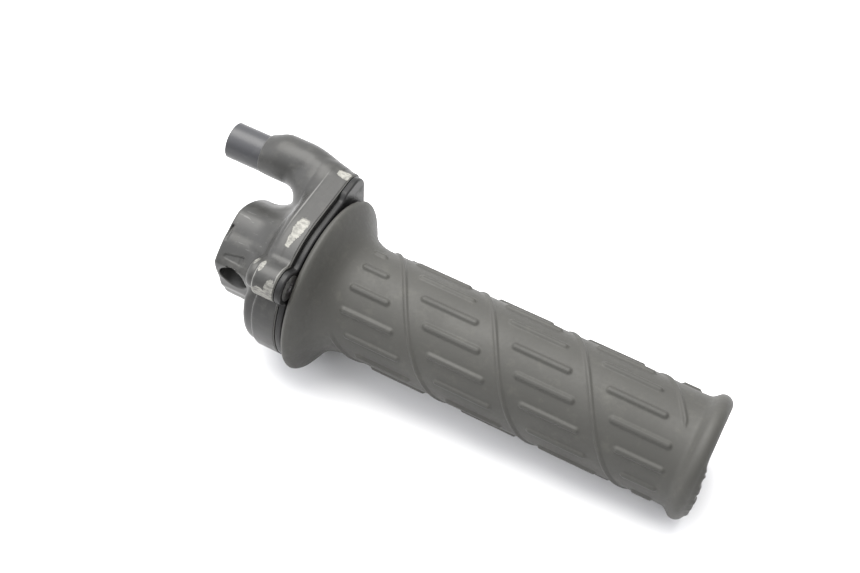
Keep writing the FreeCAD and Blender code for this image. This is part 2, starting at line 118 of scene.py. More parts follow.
def slab(x, low, high):
    """Distance outside the space between two parallel planes."""
    return np.maximum(low - x, x - high)


def capsule_box(u, v, half_u, half_v, r):
    """Distance to a flat rectangle with rounded corners."""
    du = np.abs(u) - (half_u - r)
    dv = np.abs(v) - (half_v - r)
    return np.hypot(np.maximum(du, 0), np.maximum(dv, 0)) + np.minimum(np.maximum(du, dv), 0) - r


def half_plane(y, z, point, normal_deg):
    """Distance past a straight edge through point, whose outward normal has the given angle from +Y."""
    angle = math.radians(normal_deg)
    return (y - point[0]) * math.cos(angle) + (z - point[1]) * math.sin(angle)


def smooth_step(x, low, high):
    """0 below low and 1 above high, with a smooth rise between them."""
    t = np.clip((x - low) / (high - low), 0, 1)
    return t * t * (3 - 2 * t)


# ---------------------------------------------------------------- meshes
def new_object(name, verts, faces, smooth=True):
    """Mesh object from vertices in millimetres and faces that all have the same number of corners."""
    mesh = bpy.data.meshes.new(name)
    mesh.vertices.add(len(verts))
    mesh.vertices.foreach_set("co", (np.asarray(verts, np.float32) * MM).ravel())
    corners = np.asarray(faces, np.int32)
    mesh.loops.add(corners.size)
    mesh.loops.foreach_set("vertex_index", corners.ravel())
    mesh.polygons.add(len(corners))
    mesh.polygons.foreach_set("loop_start", np.arange(0, corners.size, corners.shape[1], dtype=np.int32))
    mesh.update(calc_edges=True)
    mesh.validate()
    mesh.polygons.foreach_set("use_smooth", np.full(len(mesh.polygons), smooth))
    obj = bpy.data.objects.new(name, mesh)
    bpy.context.scene.collection.objects.link(obj)
    return obj


def point_attribute(obj, name, values):
    """One number for each vertex, which a material can read by name."""
    layer = obj.data.attributes.new(name, "FLOAT", "POINT")
    layer.data.foreach_set("value", np.asarray(values, np.float32))


def field_gradient(field, points, reach):
    """Direction in which the field grows, by central differences."""
    columns = []
    for axis in range(3):
        offset = np.zeros(3)
        offset[axis] = reach
        columns.append(field(*(points + offset).T) - field(*(points - offset).T))
    return np.stack(columns, 1) / (2 * reach)


def edge_crossings(values, inside):
    """For each grid cell, the sum of the points where the surface crosses its edges, and their number."""
    shape = np.array(values.shape) - 1
    total = np.zeros((*shape, 3), np.float32)
    count = np.zeros(shape, np.float32)
    base = np.stack(np.meshgrid(*[np.arange(n) for n in shape], indexing="ij"), -1).astype(np.float32)
    for axis in range(3):
        others = [i for i in range(3) if i != axis]
        for a in (0, 1):
            for b in (0, 1):
                start = [slice(None)] * 3
                start[axis] = slice(0, shape[axis])
                start[others[0]] = slice(a, a + shape[others[0]])
                start[others[1]] = slice(b, b + shape[others[1]])
                end = list(start)
                end[axis] = slice(1, 1 + shape[axis])
                v0, v1 = values[tuple(start)], values[tuple(end)]
                crossed = inside[tuple(start)] != inside[tuple(end)]
                share = np.where(crossed, v0 / np.where(crossed, v0 - v1, 1), 0)
                total[..., axis] += np.where(crossed, base[..., axis] + share, 0)
                total[..., others[0]] += np.where(crossed, base[..., others[0]] + a, 0)
                total[..., others[1]] += np.where(crossed, base[..., others[1]] + b, 0)
                count += crossed
    return total, count


def quads_round_edges(inside, index):
    """One quad round each grid edge that the surface crosses, from the numbers of the cells beside it."""
    faces = []
    for axis in range(3):
        b, c = [(1, 2), (2, 0), (0, 1)][axis]
        inner = [slice(1, -1)] * 3
        inner[axis] = slice(0, -1)
        ahead = list(inner)
        ahead[axis] = slice(1, None)
        first, second = inside[tuple(inner)], inside[tuple(ahead)]
        for flag, order in ((first & ~second, 1), (second & ~first, -1)):
            cell = np.argwhere(flag)
            for other in (b, c):
                cell[:, other] += 1
            ring = []
            for db, dc in ((-1, -1), (0, -1), (0, 0), (-1, 0)):
                corner = cell.copy()
                corner[:, b] += db
                corner[:, c] += dc
                ring.append(index[tuple(corner.T)])
            faces.append(np.stack(ring[::order], 1))
    return np.concatenate(faces)


def surface_points(field, low, high, step):
    """Vertices and quads of the field's zero surface, by surface nets, then moved onto the surface."""
    axes = [np.arange(low[i] - 2 * step, high[i] + 3 * step, step) for i in range(3)]
    values = field(*np.meshgrid(*axes, indexing="ij")).astype(np.float32)
    inside = values < 0
    total, count = edge_crossings(values, inside)
    cells = count > 0
    index = np.full(count.shape, -1, np.int32)
    index[cells] = np.arange(cells.sum())
    points = total[cells] / count[cells][:, None] * step + np.array([axis[0] for axis in axes])
    for _ in range(3):
        slope = field_gradient(field, points, 0.02)
        length = np.maximum((slope ** 2).sum(1), 0.25)
        move = field(*points.T) / length
        points = points - slope * np.clip(move, -step / 2, step / 2)[:, None]
    return points, quads_round_edges(inside, index)


def edge_sharpness(field, points, reach):
    """How convex the surface is at each point, from the field's own curvature."""
    total = -6.0 * field(*points.T)
    for axis in range(3):
        for sign in (-1, 1):
            offset = np.zeros(3)
            offset[axis] = sign * reach
            total = total + field(*(points + offset).T)
    return total / reach


# ---------------------------------------------------------------- housing casting
def case_outline(y, z, inset):
    """Distance to the drum case's outline, seen along the bar."""
    outline = np.hypot(y, z) - (CASE_R - inset)
    for boss_y, boss_z in BOSS_CENTRES:
        outline = rounded_union(outline, np.hypot(y - boss_y, z - boss_z) - (BOSS_R - inset), 1.2)
    side = CORNER_Y + CORNER_R - inset
    top = CROWN_R - inset
    half_height = (top - CORNER_FOOT_Z) / 2
    corner = capsule_box(y - (side - CROWN_R), z - (top - half_height), CROWN_R, half_height,
                         CORNER_R - inset)
    # on the rider's side the crown is round, and nothing of the corner reaches below the diagonal
    corner = np.maximum(corner, np.where(y < 0, np.hypot(y, z) - top, -CROWN_R))
    corner = np.maximum(corner, -(y + z) * 0.7)
    return rounded_union(outline, corner, 2.0)


def drum_case(x, y, z):
    """Drum case in two steps. On top the lower step is a ramp down to the clamp block."""
    top = smooth_step(np.minimum((y + z) * 0.707, z), 3.6, 5.6)
    below = 1 - smooth_step(z, 8, 14)
    # the ramp starts as a parabola below the step and ends as a straight slope
    run = np.maximum(STEP_X - x, 0)
    curved = np.minimum(run, RAMP_CURVE)
    inset = 0.3 * curved + 0.26 * curved ** 2 + 1.5 * (run - curved)
    ramp = np.maximum(case_outline(y, z, inset) * 0.55, RAMP_END_X - x)
    ledge = rounded_common(case_outline(y, z, LEDGE_INSET), SHOULDER_X - 1.6 * below - x, 1.8)
    lower = rounded_common(ledge + (ramp - ledge) * top, x - STEP_X - 3, 0.5)
    step = STEP_X - (0.8 + 0.7 * below) * (1 - top)
    wall = rounded_common(case_outline(y, z, 0.0), np.maximum(step - x, x - CASE_END_X - 2), 0.8)
    return rounded_union(lower, wall, 0.3)


def clamp_block(x, y, z):
    """Ring round the bar, with the lug over it that holds the clamp's screw."""
    ring = np.hypot(y, z) - CLAMP_R
    front = half_plane(y, z, (-18.3, 12.8), 192.0)
    top_slope = half_plane(y, z, (-13.1, 16.6), 126.0)
    crown = np.hypot(y + 2.95, z - 5.87) - 15.0 - 2.0 * smooth_step(-y, 9, 13)
    back = half_plane(y, z, (5.0, 18.6), 52.0)
    below = half_plane(y, z, (-15.0, -1.8), 258.0)
    lug = rounded_common(front, top_slope, 0.9)
    lug = rounded_common(lug, crown, 3.0)
    lug = rounded_common(lug, back, 4.0)
    lug = rounded_common(lug, below, 2.0)
    section = rounded_union(ring, lug, 2.0)
    return rounded_common(section, slab(x, CLAMP_X, STEP_X), 0.7)


def horn(x, y, z):
    """Barrel round the cable elbow, swelling outwards from the pipe and running into the case."""
    swell = smooth_step(x, COLLAR_X - 2, COLLAR_X + 6)
    taper = smooth_step(x, 0, 20)
    radius = PIPE_R + 0.2 + 1.4 * swell - 2.4 * taper
    shift = 0.15 + 1.2 * swell - 1.2 * taper
    barrel = np.hypot(y - PIPE_Y - OUT_Y * shift, z - PIPE_Z - OUT_Z * shift) - radius
    return rounded_common(barrel, slab(x, COLLAR_X, CASE_END_X + 2), 0.3)


def wedge_bore(x, y, z):
    """Bore across the lug, a little narrower at its mouth."""
    along = y * math.cos(WEDGE_TILT) + z * math.sin(WEDGE_TILT)
    across = -y * math.sin(WEDGE_TILT) + z * math.cos(WEDGE_TILT) - WEDGE_OFFSET
    narrowing = 0.15 * smooth_step(-along, 5, 7)
    return np.maximum(np.hypot(x - WEDGE_X, across) - WEDGE_R + narrowing, along - WEDGE_BORE_END)


def index_mark(x, y, z):
    """Small notch in the clamp block's outer end, at the top."""
    return np.maximum(capsule_box(y + 9.8, x - CLAMP_X - 0.95, 2.4, 0.35, 0.3), 18.0 + 0.3 * (y + 9) - z)


def lip_recess(x, y, z):
    """Shallow recess in the slope over the wedge bore, with two fine grooves near its inner end."""
    up_slope = (y - SLOPE_Y) * math.cos(SLOPE_TILT) + (z - SLOPE_Z) * math.sin(SLOPE_TILT)
    depth = (y - SLOPE_Y) * math.sin(SLOPE_TILT) - (z - SLOPE_Z) * math.cos(SLOPE_TILT)
    edges = rounded_common(1.1 - 0.06 * x - up_slope, up_slope - 3.5 - 0.22 * x, 0.7)
    edges = rounded_common(edges, -4.6 - x, 0.7)
    edges = rounded_common(edges, x - 2.6 + 0.27 * up_slope, 0.4)
    groove = np.minimum(np.abs(x - 0.7), np.abs(x - 1.4)) - 0.12
    return np.maximum(edges, depth - 0.5 - 0.2 * smooth_step(-groove, -0.1, 0.1))


def housing_field(x, y, z):
    """The whole casting: block, drum case and horn, with their bores and marks cut out."""
    body = rounded_union(clamp_block(x, y, z), drum_case(x, y, z), 2.5 + 2.5 * smooth_step(z, 4, 12))
    outwards = (y - PIPE_Y) * OUT_Y + (z - PIPE_Z) * OUT_Z
    above = (z - PIPE_Z) * OUT_Y - (y - PIPE_Y) * OUT_Z
    web = smooth_step(above, -0.5, 7.5) * smooth_step(x, -10, 0) * (1 - smooth_step(x, 5, 13))
    body = rounded_union(body, horn(x, y, z), 5.6 - 4.0 * smooth_step(outwards, -6, 2) + 5.0 * web)
    body = rounded_common(body, x - CASE_END_X, 0.25)
    from_bar = np.hypot(y, z)
    body = rounded_cut(body, np.maximum(from_bar - BAR_R, x - (SHOULDER_X + 3)), 0.5)
    body = np.maximum(body, -np.maximum(from_bar - CAVITY_R, (SHOULDER_X + CAVITY_WALL) - x))
    body = rounded_cut(body, wedge_bore(x, y, z), 0.2)
    body = rounded_cut(body, lip_recess(x, y, z), 0.12)
    return rounded_cut(body, index_mark(x, y, z), 0.12)


def cover_field(x, y, z):
    """Cover plate, a little smaller than the case except at front and back, with two countersinks."""
    inset = 1.5 * smooth_step(14 - y, 0, 3) * smooth_step(y, -19, -12)
    plate = rounded_common(case_outline(y, z, inset), slab(x, COVER_LOW[0], COVER_HIGH[0]), 0.55)
    plate = rounded_cut(plate, np.hypot(y, z) - COVER_BORE_R, 0.3)
    for boss_y, boss_z in BOSS_CENTRES:
        sink = np.hypot(y - boss_y, z - boss_z) - SCREW_HEAD_R + 0.75 * np.maximum(COVER_HIGH[0] - x, 0)
        plate = rounded_cut(plate, sink, 0.15)
    return plate


def field_object(name, field, node, step):
    """Mesh of a distance field, kept inside the box of the CAD node that it replaces."""
    low, high = box_mm(node)
    points, faces = surface_points(field, low, high, step)
    points = np.clip(points, low, high)
    made = new_object(name, points, faces)
    point_attribute(made, "edge", edge_sharpness(field, points, 0.7))
    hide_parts(node)
    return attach(made, "housing")


# ---------------------------------------------------------------- rubber grip
BODY_R = 16.8
# turn angles of the pattern are counted downwards from this tilt above the rider's side
PATTERN_TILT = math.radians(55.3)
BEAD_PITCH, BEAD_START, BEAD_HEIGHT, BEAD_SWING = 28.606, 23.93, 0.5, 0.66
BEAD_END = GRIP_HIGH[0] - 10.1
RIB_PITCH, RIB_TWIST = math.radians(24.7), math.radians(-29.0)
# how far the ribs of each band are turned besides RIB_TWIST, from the flange to the end
RIB_OFFSETS = np.radians([-10.7, -5.3, 0.0, 5.4, 5.3, 10.5])
RIB_HEIGHT, RIB_HALF_WIDTH, RIB_TO_BEAD, SHORTEST_RIB = 0.7, 1.05, 5.2, 4.0
RIB_START, RIB_END = GRIP_LOW[0] + 12.6, GRIP_HIGH[0] - 10.8
# the end rim's length, how far its face is worn back from the CAD model's, and the depth of its lip
RIM_LENGTH, RIM_WORN, LIP_DEPTH = 7.0, 1.3, 1.5
# the torn flap's place and half width round the rim, its teeth per radian, and its reach across the face
FLAP_ANGLE, FLAP_HALF_WIDTH, FLAP_TEETH = math.radians(40.0), 0.6, 22
FLAP_INNER_R, FLAP_OUTER_R = 13.8, 17.7


def bell_profile():
    """Radius of the flange and the body under its ribs, from the flange's edge to the end rim."""
    left, end = GRIP_LOW[0], GRIP_HIGH[0]
    peak = GRIP_HIGH[2]
    knots = [
        (left, 22.0), (left + 0.02, 24.2), (left + 0.25, peak - 1.5), (left + 0.85, peak - 0.45),
        (left + 1.7, peak), (left + 2.6, peak - 0.5), (left + 3.4, peak - 1.6), (left + 4.4, peak - 3.2),
        (left + 5.7, peak - 5.4), (left + 7.3, peak - 7.5), (left + 9.2, peak - 9.1),
        (left + 11.4, peak - 10.05), (left + 14.0, BODY_R + 0.08), (left + 18.0, BODY_R),
        (end - 30.0, BODY_R), (end - 9.5, BODY_R - 0.1), (end - 7.6, BODY_R + 0.1),
        (end - 6.4, BODY_R + 0.95), (end - 5.2, BODY_R + 1.75), (end - 3.6, BODY_R + 2.1),
        (end - 1.9, BODY_R + 1.9), (end - 0.7, BODY_R + 1.1), (end - 0.1, BODY_R - 0.1), (end, BODY_R - 1.2),
    ]
    return np.array(knots)


def spline_through(knots, spacing):
    """Points spaced evenly along a smooth curve through the knots."""
    padded = np.vstack([2 * knots[0] - knots[1], knots, 2 * knots[-1] - knots[-2]])
    curve = []
    for p0, p1, p2, p3 in zip(padded, padded[1:], padded[2:], padded[3:]):
        t1 = math.sqrt(np.linalg.norm(p1 - p0))
        t2 = t1 + math.sqrt(np.linalg.norm(p2 - p1))
        t3 = t2 + math.sqrt(np.linalg.norm(p3 - p2))
        t = np.linspace(t1, t2, 40, endpoint=False)[:, None]
        a1 = (t1 - t) / t1 * p0 + t / t1 * p1
        a2 = (t2 - t) / (t2 - t1) * p1 + (t - t1) / (t2 - t1) * p2
        a3 = (t3 - t) / (t3 - t2) * p2 + (t - t2) / (t3 - t2) * p3
        b1 = (t2 - t) / t2 * a1 + t / t2 * a2
        b2 = (t3 - t) / (t3 - t1) * a2 + (t - t1) / (t3 - t1) * a3
        curve.append((t2 - t) / (t2 - t1) * b1 + (t - t1) / (t2 - t1) * b2)
    curve = np.vstack(curve + [knots[-1:]])
    length = np.r_[0, np.cumsum(np.linalg.norm(np.diff(curve, axis=0), axis=1))]
    even = np.linspace(0, length[-1], int(length[-1] / spacing) + 1)
    return np.stack([np.interp(even, length, curve[:, i]) for i in (0, 1)], 1)


def bead_run(turn):
    """How far a bead has run along the grip at a turn angle: two beads, so two pitches in a full turn."""
    return BEAD_PITCH * turn / math.pi + BEAD_SWING * np.sin(turn)


def bead_height(x, turn):
    """Raised spiral beads, two starts, fading out at the smooth collar."""
    offset = (x - BEAD_START - bead_run(turn) + BEAD_PITCH / 2) % BEAD_PITCH - BEAD_PITCH / 2
    across = np.abs(offset) * math.cos(math.atan(BEAD_PITCH / math.pi / BODY_R))
    bead = BEAD_HEIGHT * (1 - smooth_step(across, 0.25, 0.85))
    hollow_beside = 0.1 * np.exp(-((across - 1.1) / 0.35) ** 2)
    return (bead - hollow_beside) * (1 - smooth_step(x, BEAD_END - 1.2, BEAD_END))


def rib_height(x, turn):
    """Straight raised ribs between the beads, with rounded ends."""
    band = np.floor((x - BEAD_START - bead_run(turn)) / BEAD_PITCH)
    twist = RIB_OFFSETS[np.clip(band + 1, 0, len(RIB_OFFSETS) - 1).astype(int)] + RIB_TWIST
    height = np.zeros_like(x)
    for step in (-1, 0, 1):
        angle = (np.round((turn - twist) / RIB_PITCH) + step) * RIB_PITCH + twist
        start = BEAD_START + bead_run(angle) + BEAD_PITCH * band + RIB_TO_BEAD
        end = np.minimum(start + BEAD_PITCH - 2 * RIB_TO_BEAD, RIB_END)
        start = np.maximum(start, RIB_START)
        middle, half = (start + end) / 2, np.maximum((end - start) / 2, 0)
        distance = capsule_box(x - middle, (turn - angle) * BODY_R, half, RIB_HALF_WIDTH, 1.0)
        rib = RIB_HEIGHT * (1 - smooth_step(distance, -0.7, 0.25))
        there = (half > SHORTEST_RIB / 2) & (np.abs(angle) < math.pi - 0.1)
        height = np.maximum(height, np.where(there, rib, 0))
    return height


def rubber_relief(x, turn):
    """Height of the moulded pattern above the plain body."""
    turn = (turn + math.pi) % (2 * math.pi) - math.pi
    on_body = smooth_step(x, GRIP_LOW[0] + 10.5, GRIP_LOW[0] + 13.0)
    return on_body * np.maximum(bead_height(x, turn), rib_height(x, turn))


def torn_lip(turn):
    """How far the torn flap stands out of the end face, 0 to 1: ragged, and on the rider's side."""
    offset = (turn - FLAP_ANGLE + math.pi) % (2 * math.pi) - math.pi
    teeth = np.random.default_rng(11).uniform(0.5, 1.0, 160)
    ragged = np.interp(offset * FLAP_TEETH, np.arange(-80, 80), teeth)
    return np.exp(-(offset / FLAP_HALF_WIDTH) ** 6) * ragged


def lining_profile():
    """The rubber's inner side: from the lip over the tube's end, along the tube, to the flange's back."""
    left, end = GRIP_LOW[0], GRIP_HIGH[0]
    on_tube = TUBE_R + 0.02
    return np.array([
        (end - 0.02, 15.2), (end - 0.05, 14.8), (end - 0.1, 14.3), (end - 0.1, 13.6), (end - 0.35, 12.7),
        (end - 0.8, 12.3), (end - 1.4, 12.4), (end - LIP_DEPTH, on_tube), (end - 40, on_tube),
        (left + 30, on_tube), (left + 0.4, on_tube), (left, TUBE_R + 0.4), (left, 16.0), (left, 19.0),
    ])


def make_rubber():
    """The rubber's skin: a profile turned round the bar's axis, with its pattern and its torn flap."""
    spacing, around = ((0.36, 384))
    outer = spline_through(bell_profile(), spacing)
    profile = np.vstack([outer, lining_profile()])
    outside = (np.arange(len(profile)) < len(outer))[:, None]
    turn = np.arange(around) * 2 * math.pi / around
    x, t = np.meshgrid(profile[:, 0], turn, indexing="ij")
    relief = np.where(outside, rubber_relief(x, t), 0)
    r = np.repeat(profile[:, 1:2], around, axis=1) + relief

    end = GRIP_HIGH[0]
    near_end = np.where(outside, smooth_step(x, end - RIM_LENGTH, end - 1.0),
                        smooth_step(x, end - LIP_DEPTH, end - 0.1))
    flap = torn_lip(t) * smooth_step(FLAP_OUTER_R - r, 0, 0.8) * smooth_step(r - FLAP_INNER_R, 0, 0.8)
    x = x - RIM_WORN * near_end * (1 - flap)

    verts = np.stack([x, -r * np.cos(PATTERN_TILT - t), r * np.sin(PATTERN_TILT - t)], -1).reshape(-1, 3)
    rows, cols = np.meshgrid(np.arange(len(profile)), np.arange(around), indexing="ij")
    next_row, next_col = (rows + 1) % len(profile), (cols + 1) % around
    faces = np.stack([rows * around + cols, next_row * around + cols,
                      next_row * around + next_col, rows * around + next_col], -1).reshape(-1, 4)
    made = new_object("grip_rubber_skin", verts, faces)
    point_attribute(made, "relief", relief.ravel())
    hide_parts("grip_rubber")
    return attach(made, "twist_grip")


# ---------------------------------------------------------------- materials
class Nodes:
    """Short names for building a node material."""

    def __init__(self, name):
        self.material = bpy.data.materials.new(name)
        self.material.use_nodes = True
        self.tree = self.material.node_tree
        self.shader = self.tree.nodes["Principled BSDF"]
        self.position = self.add("ShaderNodeTexCoord").outputs["Object"]

    def add(self, kind, **settings):
        node = self.tree.nodes.new(kind)
        for key, value in settings.items():
            setattr(node, key, value)
        return node

    def link(self, source, socket):
        self.tree.links.new(source, socket)

    def put(self, value, socket):
        """Link a node's output, or set a plain value."""
        if isinstance(value, bpy.types.NodeSocket):
            self.link(value, socket)
        else:
            socket.default_value = value

    def set(self, name, value):
        """Link or set one of the shader's own sockets."""
        self.put(value, self.shader.inputs[name])

    def noise(self, scale, detail=4.0, rough=0.55, stretch=(1, 1, 1), offset=0.0):
        """Noise with about so many features to a metre as its scale says."""
        mapping = self.add("ShaderNodeMapping")
        mapping.inputs["Scale"].default_value = stretch
        mapping.inputs["Location"].default_value = (offset, offset * 0.7, offset * 0.3)
        self.link(self.position, mapping.inputs["Vector"])
        node = self.add("ShaderNodeTexNoise")
        self.link(mapping.outputs["Vector"], node.inputs["Vector"])
        node.inputs["Scale"].default_value = scale
        node.inputs["Detail"].default_value = detail
        node.inputs["Roughness"].default_value = rough
        return node.outputs["Fac"]

    def attribute(self, name):
        """A vertex attribute of the mesh."""
        return self.add("ShaderNodeAttribute", attribute_name=name).outputs["Fac"]

    def math(self, operation, a, b):
        node = self.add("ShaderNodeMath", operation=operation)
        self.put(a, node.inputs[0])
        self.put(b, node.inputs[1])
        return node.outputs[0]

    def plus(self, a, b):
        return self.math("ADD", a, b)

    def times(self, a, b):
        return self.math("MULTIPLY", a, b)

    def ramp(self, value, low, high, out_low=0.0, out_high=1.0):
        """Smooth step of a value between two limits."""
        node = self.add("ShaderNodeMapRange", interpolation_type="SMOOTHSTEP")
        self.put(value, node.inputs["Value"])
        for key, number in (("From Min", low), ("From Max", high), ("To Min", out_low), ("To Max", out_high)):
            node.inputs[key].default_value = number
        return node.outputs["Result"]

    def mix(self, factor, a, b):
        """Colour a where the factor is 0 and colour b where it is 1."""
        node = self.add("ShaderNodeMix", data_type="RGBA")
        self.put(factor, node.inputs["Factor"])
        self.put(a, node.inputs[6])
        self.put(b, node.inputs[7])
        return node.outputs[2]

    def bump(self, height, distance_mm, strength, normal=None):
        """Normal of a surface with this height on it, over another bump if one is given."""
        node = self.add("ShaderNodeBump")
        node.inputs["Strength"].default_value = strength
        node.inputs["Distance"].default_value = distance_mm * MM
        self.link(height, node.inputs["Height"])
        if normal is not None:
            self.link(normal, node.inputs["Normal"])
        return node.outputs["Normal"]

    def near(self, centre_mm, radii_mm):
        """1 at a point on the object, falling to 0 at the given half sizes."""
        offset = self.add("ShaderNodeVectorMath", operation="SUBTRACT")
        self.link(self.position, offset.inputs[0])
        offset.inputs[1].default_value = [c * MM for c in centre_mm]
        scaled = self.add("ShaderNodeVectorMath", operation="DIVIDE")
        self.link(offset.outputs[0], scaled.inputs[0])
        scaled.inputs[1].default_value = [r * MM for r in radii_mm]
        length = self.add("ShaderNodeVectorMath", operation="LENGTH")
        self.link(scaled.outputs[0], length.inputs[0])
        return self.math("SUBTRACT", 1.0, length.outputs["Value"])


def grey(value, warm=0.0):
    """Grey of the given albedo, yellower the warmer it is."""
    return (value * (1 + 0.3 * warm), value, value * (1 - 1.6 * warm), 1.0)


def rubber_material(name, value=0.041, warm=0.06):
    """Aged rubber: fine pores, patches of dust, and the pattern rubbed darker on its top."""
    look = Nodes(name)
    broad = look.noise(45, 3)
    fine = look.noise(900, 5, 0.65)
    dust = look.ramp(look.noise(210, 6, 0.7, offset=3.0), 0.52, 0.72)
    base = look.mix(broad, grey(value * 0.88, warm), grey(value * 1.12, warm))
    dusty = look.mix(look.times(dust, 0.30), base, grey(value * 1.7, warm * 1.5))
    rubbed = look.ramp(look.plus(look.attribute("relief"), look.times(fine, 0.3)), 0.55, 0.95)
    look.set("Base Color", look.mix(look.times(rubbed, 0.25), dusty, grey(value * 0.75, warm)))
    look.set("Roughness", look.ramp(look.plus(broad, fine), 0.7, 1.3, 0.62, 0.50))
    look.set("Specular IOR Level", 0.26)
    pores = look.bump(fine, 0.05, 0.55)
    look.set("Normal", look.bump(look.noise(160, 4), 0.12, 0.35, pores))
    return look.material


def painted_metal(name, value, cool=0.0, shine=0.38):
    """Satin black paint with a fine spray texture, dusty in patches."""
    look = Nodes(name)
    broad = look.noise(60, 4)
    fine = look.noise(1500, 3, 0.6)
    dust = look.ramp(look.noise(260, 6, 0.7, offset=1.0), 0.50, 0.75)
    # cool tints the paint bluish: a painted sheen standing in for sky light on the pipe
    base = look.mix(broad, grey(value * 0.85, -cool), grey(value * 1.15, -cool))
    look.set("Base Color", look.mix(look.times(dust, 0.28), base, grey(value * 2.2)))
    look.set("Roughness", look.ramp(look.plus(broad, dust), 0.3, 1.4, 0.34, 0.50))
    look.set("Specular IOR Level", shine)
    look.set("Normal", look.bump(fine, 0.03, 0.5))
    return look.material


# worn spots on the casting: centre and half sizes in millimetres, and how bare they are
CHIPS = [
    ((14.4, -3.3, 25.0), (2.5, 5.6, 4.0), 1.0),
    ((13.9, -7.8, 24.2), (1.3, 4.2, 4.0), 1.0),
    ((15.6, 19.8, 26.8), (2.9, 2.2, 2.6), 1.0),
    ((14.2, -24.2, 17.0), (6.0, 4.4, 4.6), 0.9),
    ((15.9, -24.2, 21.4), (2.0, 3.4, 4.0), 0.7),
    ((11.3, -19.0, 24.2), (0.8, 2.6, 2.2), 0.8),
    ((8.4, -17.5, 22.5), (0.8, 2.2, 2.0), 0.5),
]


def casting_material():
    """The casting's paint, worn through to bare alloy where the real one is rubbed."""
    look = Nodes("casting_paint")
    broad = look.noise(60, 4)
    fine = look.noise(1300, 3, 0.6)
    patchy = look.noise(420, 6, 0.7, offset=2.0)
    dust = look.ramp(look.noise(260, 6, 0.7, offset=1.0), 0.48, 0.75)

    # paint, mixed darker low on the front as painted shade where the casting faces down and away from the
    # light, and dusty in patches
    clean = look.mix(broad, grey(0.022, 0.02), grey(0.033, 0.05))
    low_front_shade = look.ramp(look.near((12, -22, 2), (14, 16, 13)), 0.0, 0.6, 0.0, 0.6)
    paint = look.mix(look.times(dust, 0.28), look.mix(low_front_shade, clean, grey(0.012)), grey(0.085, 0.06))

    # fine scratches on top of the clamp block
    scratch = look.ramp(look.noise(700, 2, 0.5, stretch=(0.25, 1.6, 1.6), offset=5.0), 0.66, 0.72)
    block_top = look.ramp(look.near((0, -6, 19), (9, 12, 6)), 0.0, 0.6)
    paint = look.mix(look.times(look.times(scratch, block_top), 0.4), paint, grey(0.14, 0.02))

    # sharp edges rubbed pale, most of all round the front boss
    edge = look.ramp(look.plus(look.attribute("edge"), look.times(patchy, 1.1)), 1.25, 1.55)
    front = look.ramp(look.near((12, -20, 19), (11, 12, 12)), 0.0, 0.5)
    paint = look.mix(look.times(edge, look.plus(0.05, look.times(front, 0.8))), paint, grey(0.17, 0.04))

    # thin pale line along the step on top
    line = look.plus(look.near((STEP_X, 5, 27), (0.45, 22, 7)), look.times(patchy, 0.4))
    paint = look.mix(look.ramp(line, 0.45, 0.95, 0.0, 0.6), paint, grey(0.16, 0.03))

    # chips down to the alloy
    ragged = look.times(look.math("SUBTRACT", patchy, 0.5), 1.1)
    chip = None
    for centre, radii, strength in CHIPS:
        spot = look.ramp(look.plus(look.near(centre, radii), ragged), 0.14, 0.24, 0.0, strength)
        chip = spot if chip is None else look.math("MAXIMUM", chip, spot)
    strokes = look.ramp(look.noise(800, 6, 0.75, stretch=(0.6, 1, 2)), 0.35, 0.6)
    alloy = look.mix(strokes, grey(0.10, 0.05), grey(0.23, 0.06))

    look.set("Base Color", look.mix(chip, paint, alloy))
    paint_roughness = look.ramp(look.plus(broad, dust), 0.3, 1.4, 0.36, 0.52)
    look.set("Roughness", look.plus(paint_roughness, look.times(chip, 0.25)))
    look.set("Specular IOR Level", 0.31)
    grain = look.bump(fine, 0.03, 0.5)
    look.set("Normal", look.bump(look.math("SUBTRACT", 1.0, chip), 0.08, 0.8, grain))
    return look.material


def bare_steel(name, value, rough, stain_share):
    """Brushed steel with brown stains."""
    look = Nodes(name)
    brushed = look.noise(600, 4, 0.6, stretch=(1, 5, 1))
    stain = look.ramp(look.noise(380, 6, 0.7, offset=4.0), 0.5, 0.7)
    base = look.mix(brushed, grey(value * 0.75, 0.01), grey(value * 1.2, 0.01))
    look.set("Base Color", look.mix(look.times(stain, stain_share), base, (0.10, 0.07, 0.05, 1)))
    look.set("Metallic", 0.9)
    look.set("Roughness", look.ramp(look.plus(brushed, stain), 0.3, 1.5, rough * 0.8, rough * 1.6))
    look.set("Normal", look.bump(brushed, 0.03, 0.5))
    return look.material


def moulded_plastic(name, colour, rough):
    """Moulded nylon, slightly uneven in colour and gloss."""
    look = Nodes(name)
    broad = look.noise(70, 4)
    fine = look.noise(1100, 4, 0.6)
    darker = tuple(c * 0.8 for c in colour) + (1.0,)
    lighter = tuple(c * 1.15 for c in colour) + (1.0,)
    look.set("Base Color", look.mix(broad, darker, lighter))
    look.set("Roughness", look.ramp(look.plus(broad, fine), 0.6, 1.4, rough * 0.85, rough * 1.15))
    look.set("Normal", look.bump(fine, 0.03, 0.4))
    return look.material


def floor_material():
    """White board, very slightly mottled."""
    look = Nodes("studio_floor")
    soft = look.noise(1.6, 3)
    specks = look.ramp(look.noise(240, 5, 0.7, offset=6.0), 0.73, 0.80)
    board = look.mix(soft, (0.66, 0.66, 0.675, 1), (0.69, 0.69, 0.68, 1))
    look.set("Base Color", look.mix(look.times(specks, 0.10), board, (0.55, 0.55, 0.58, 1)))
    look.set("Roughness", look.ramp(soft, 0.3, 0.7, 0.75, 0.9))
    return look.material


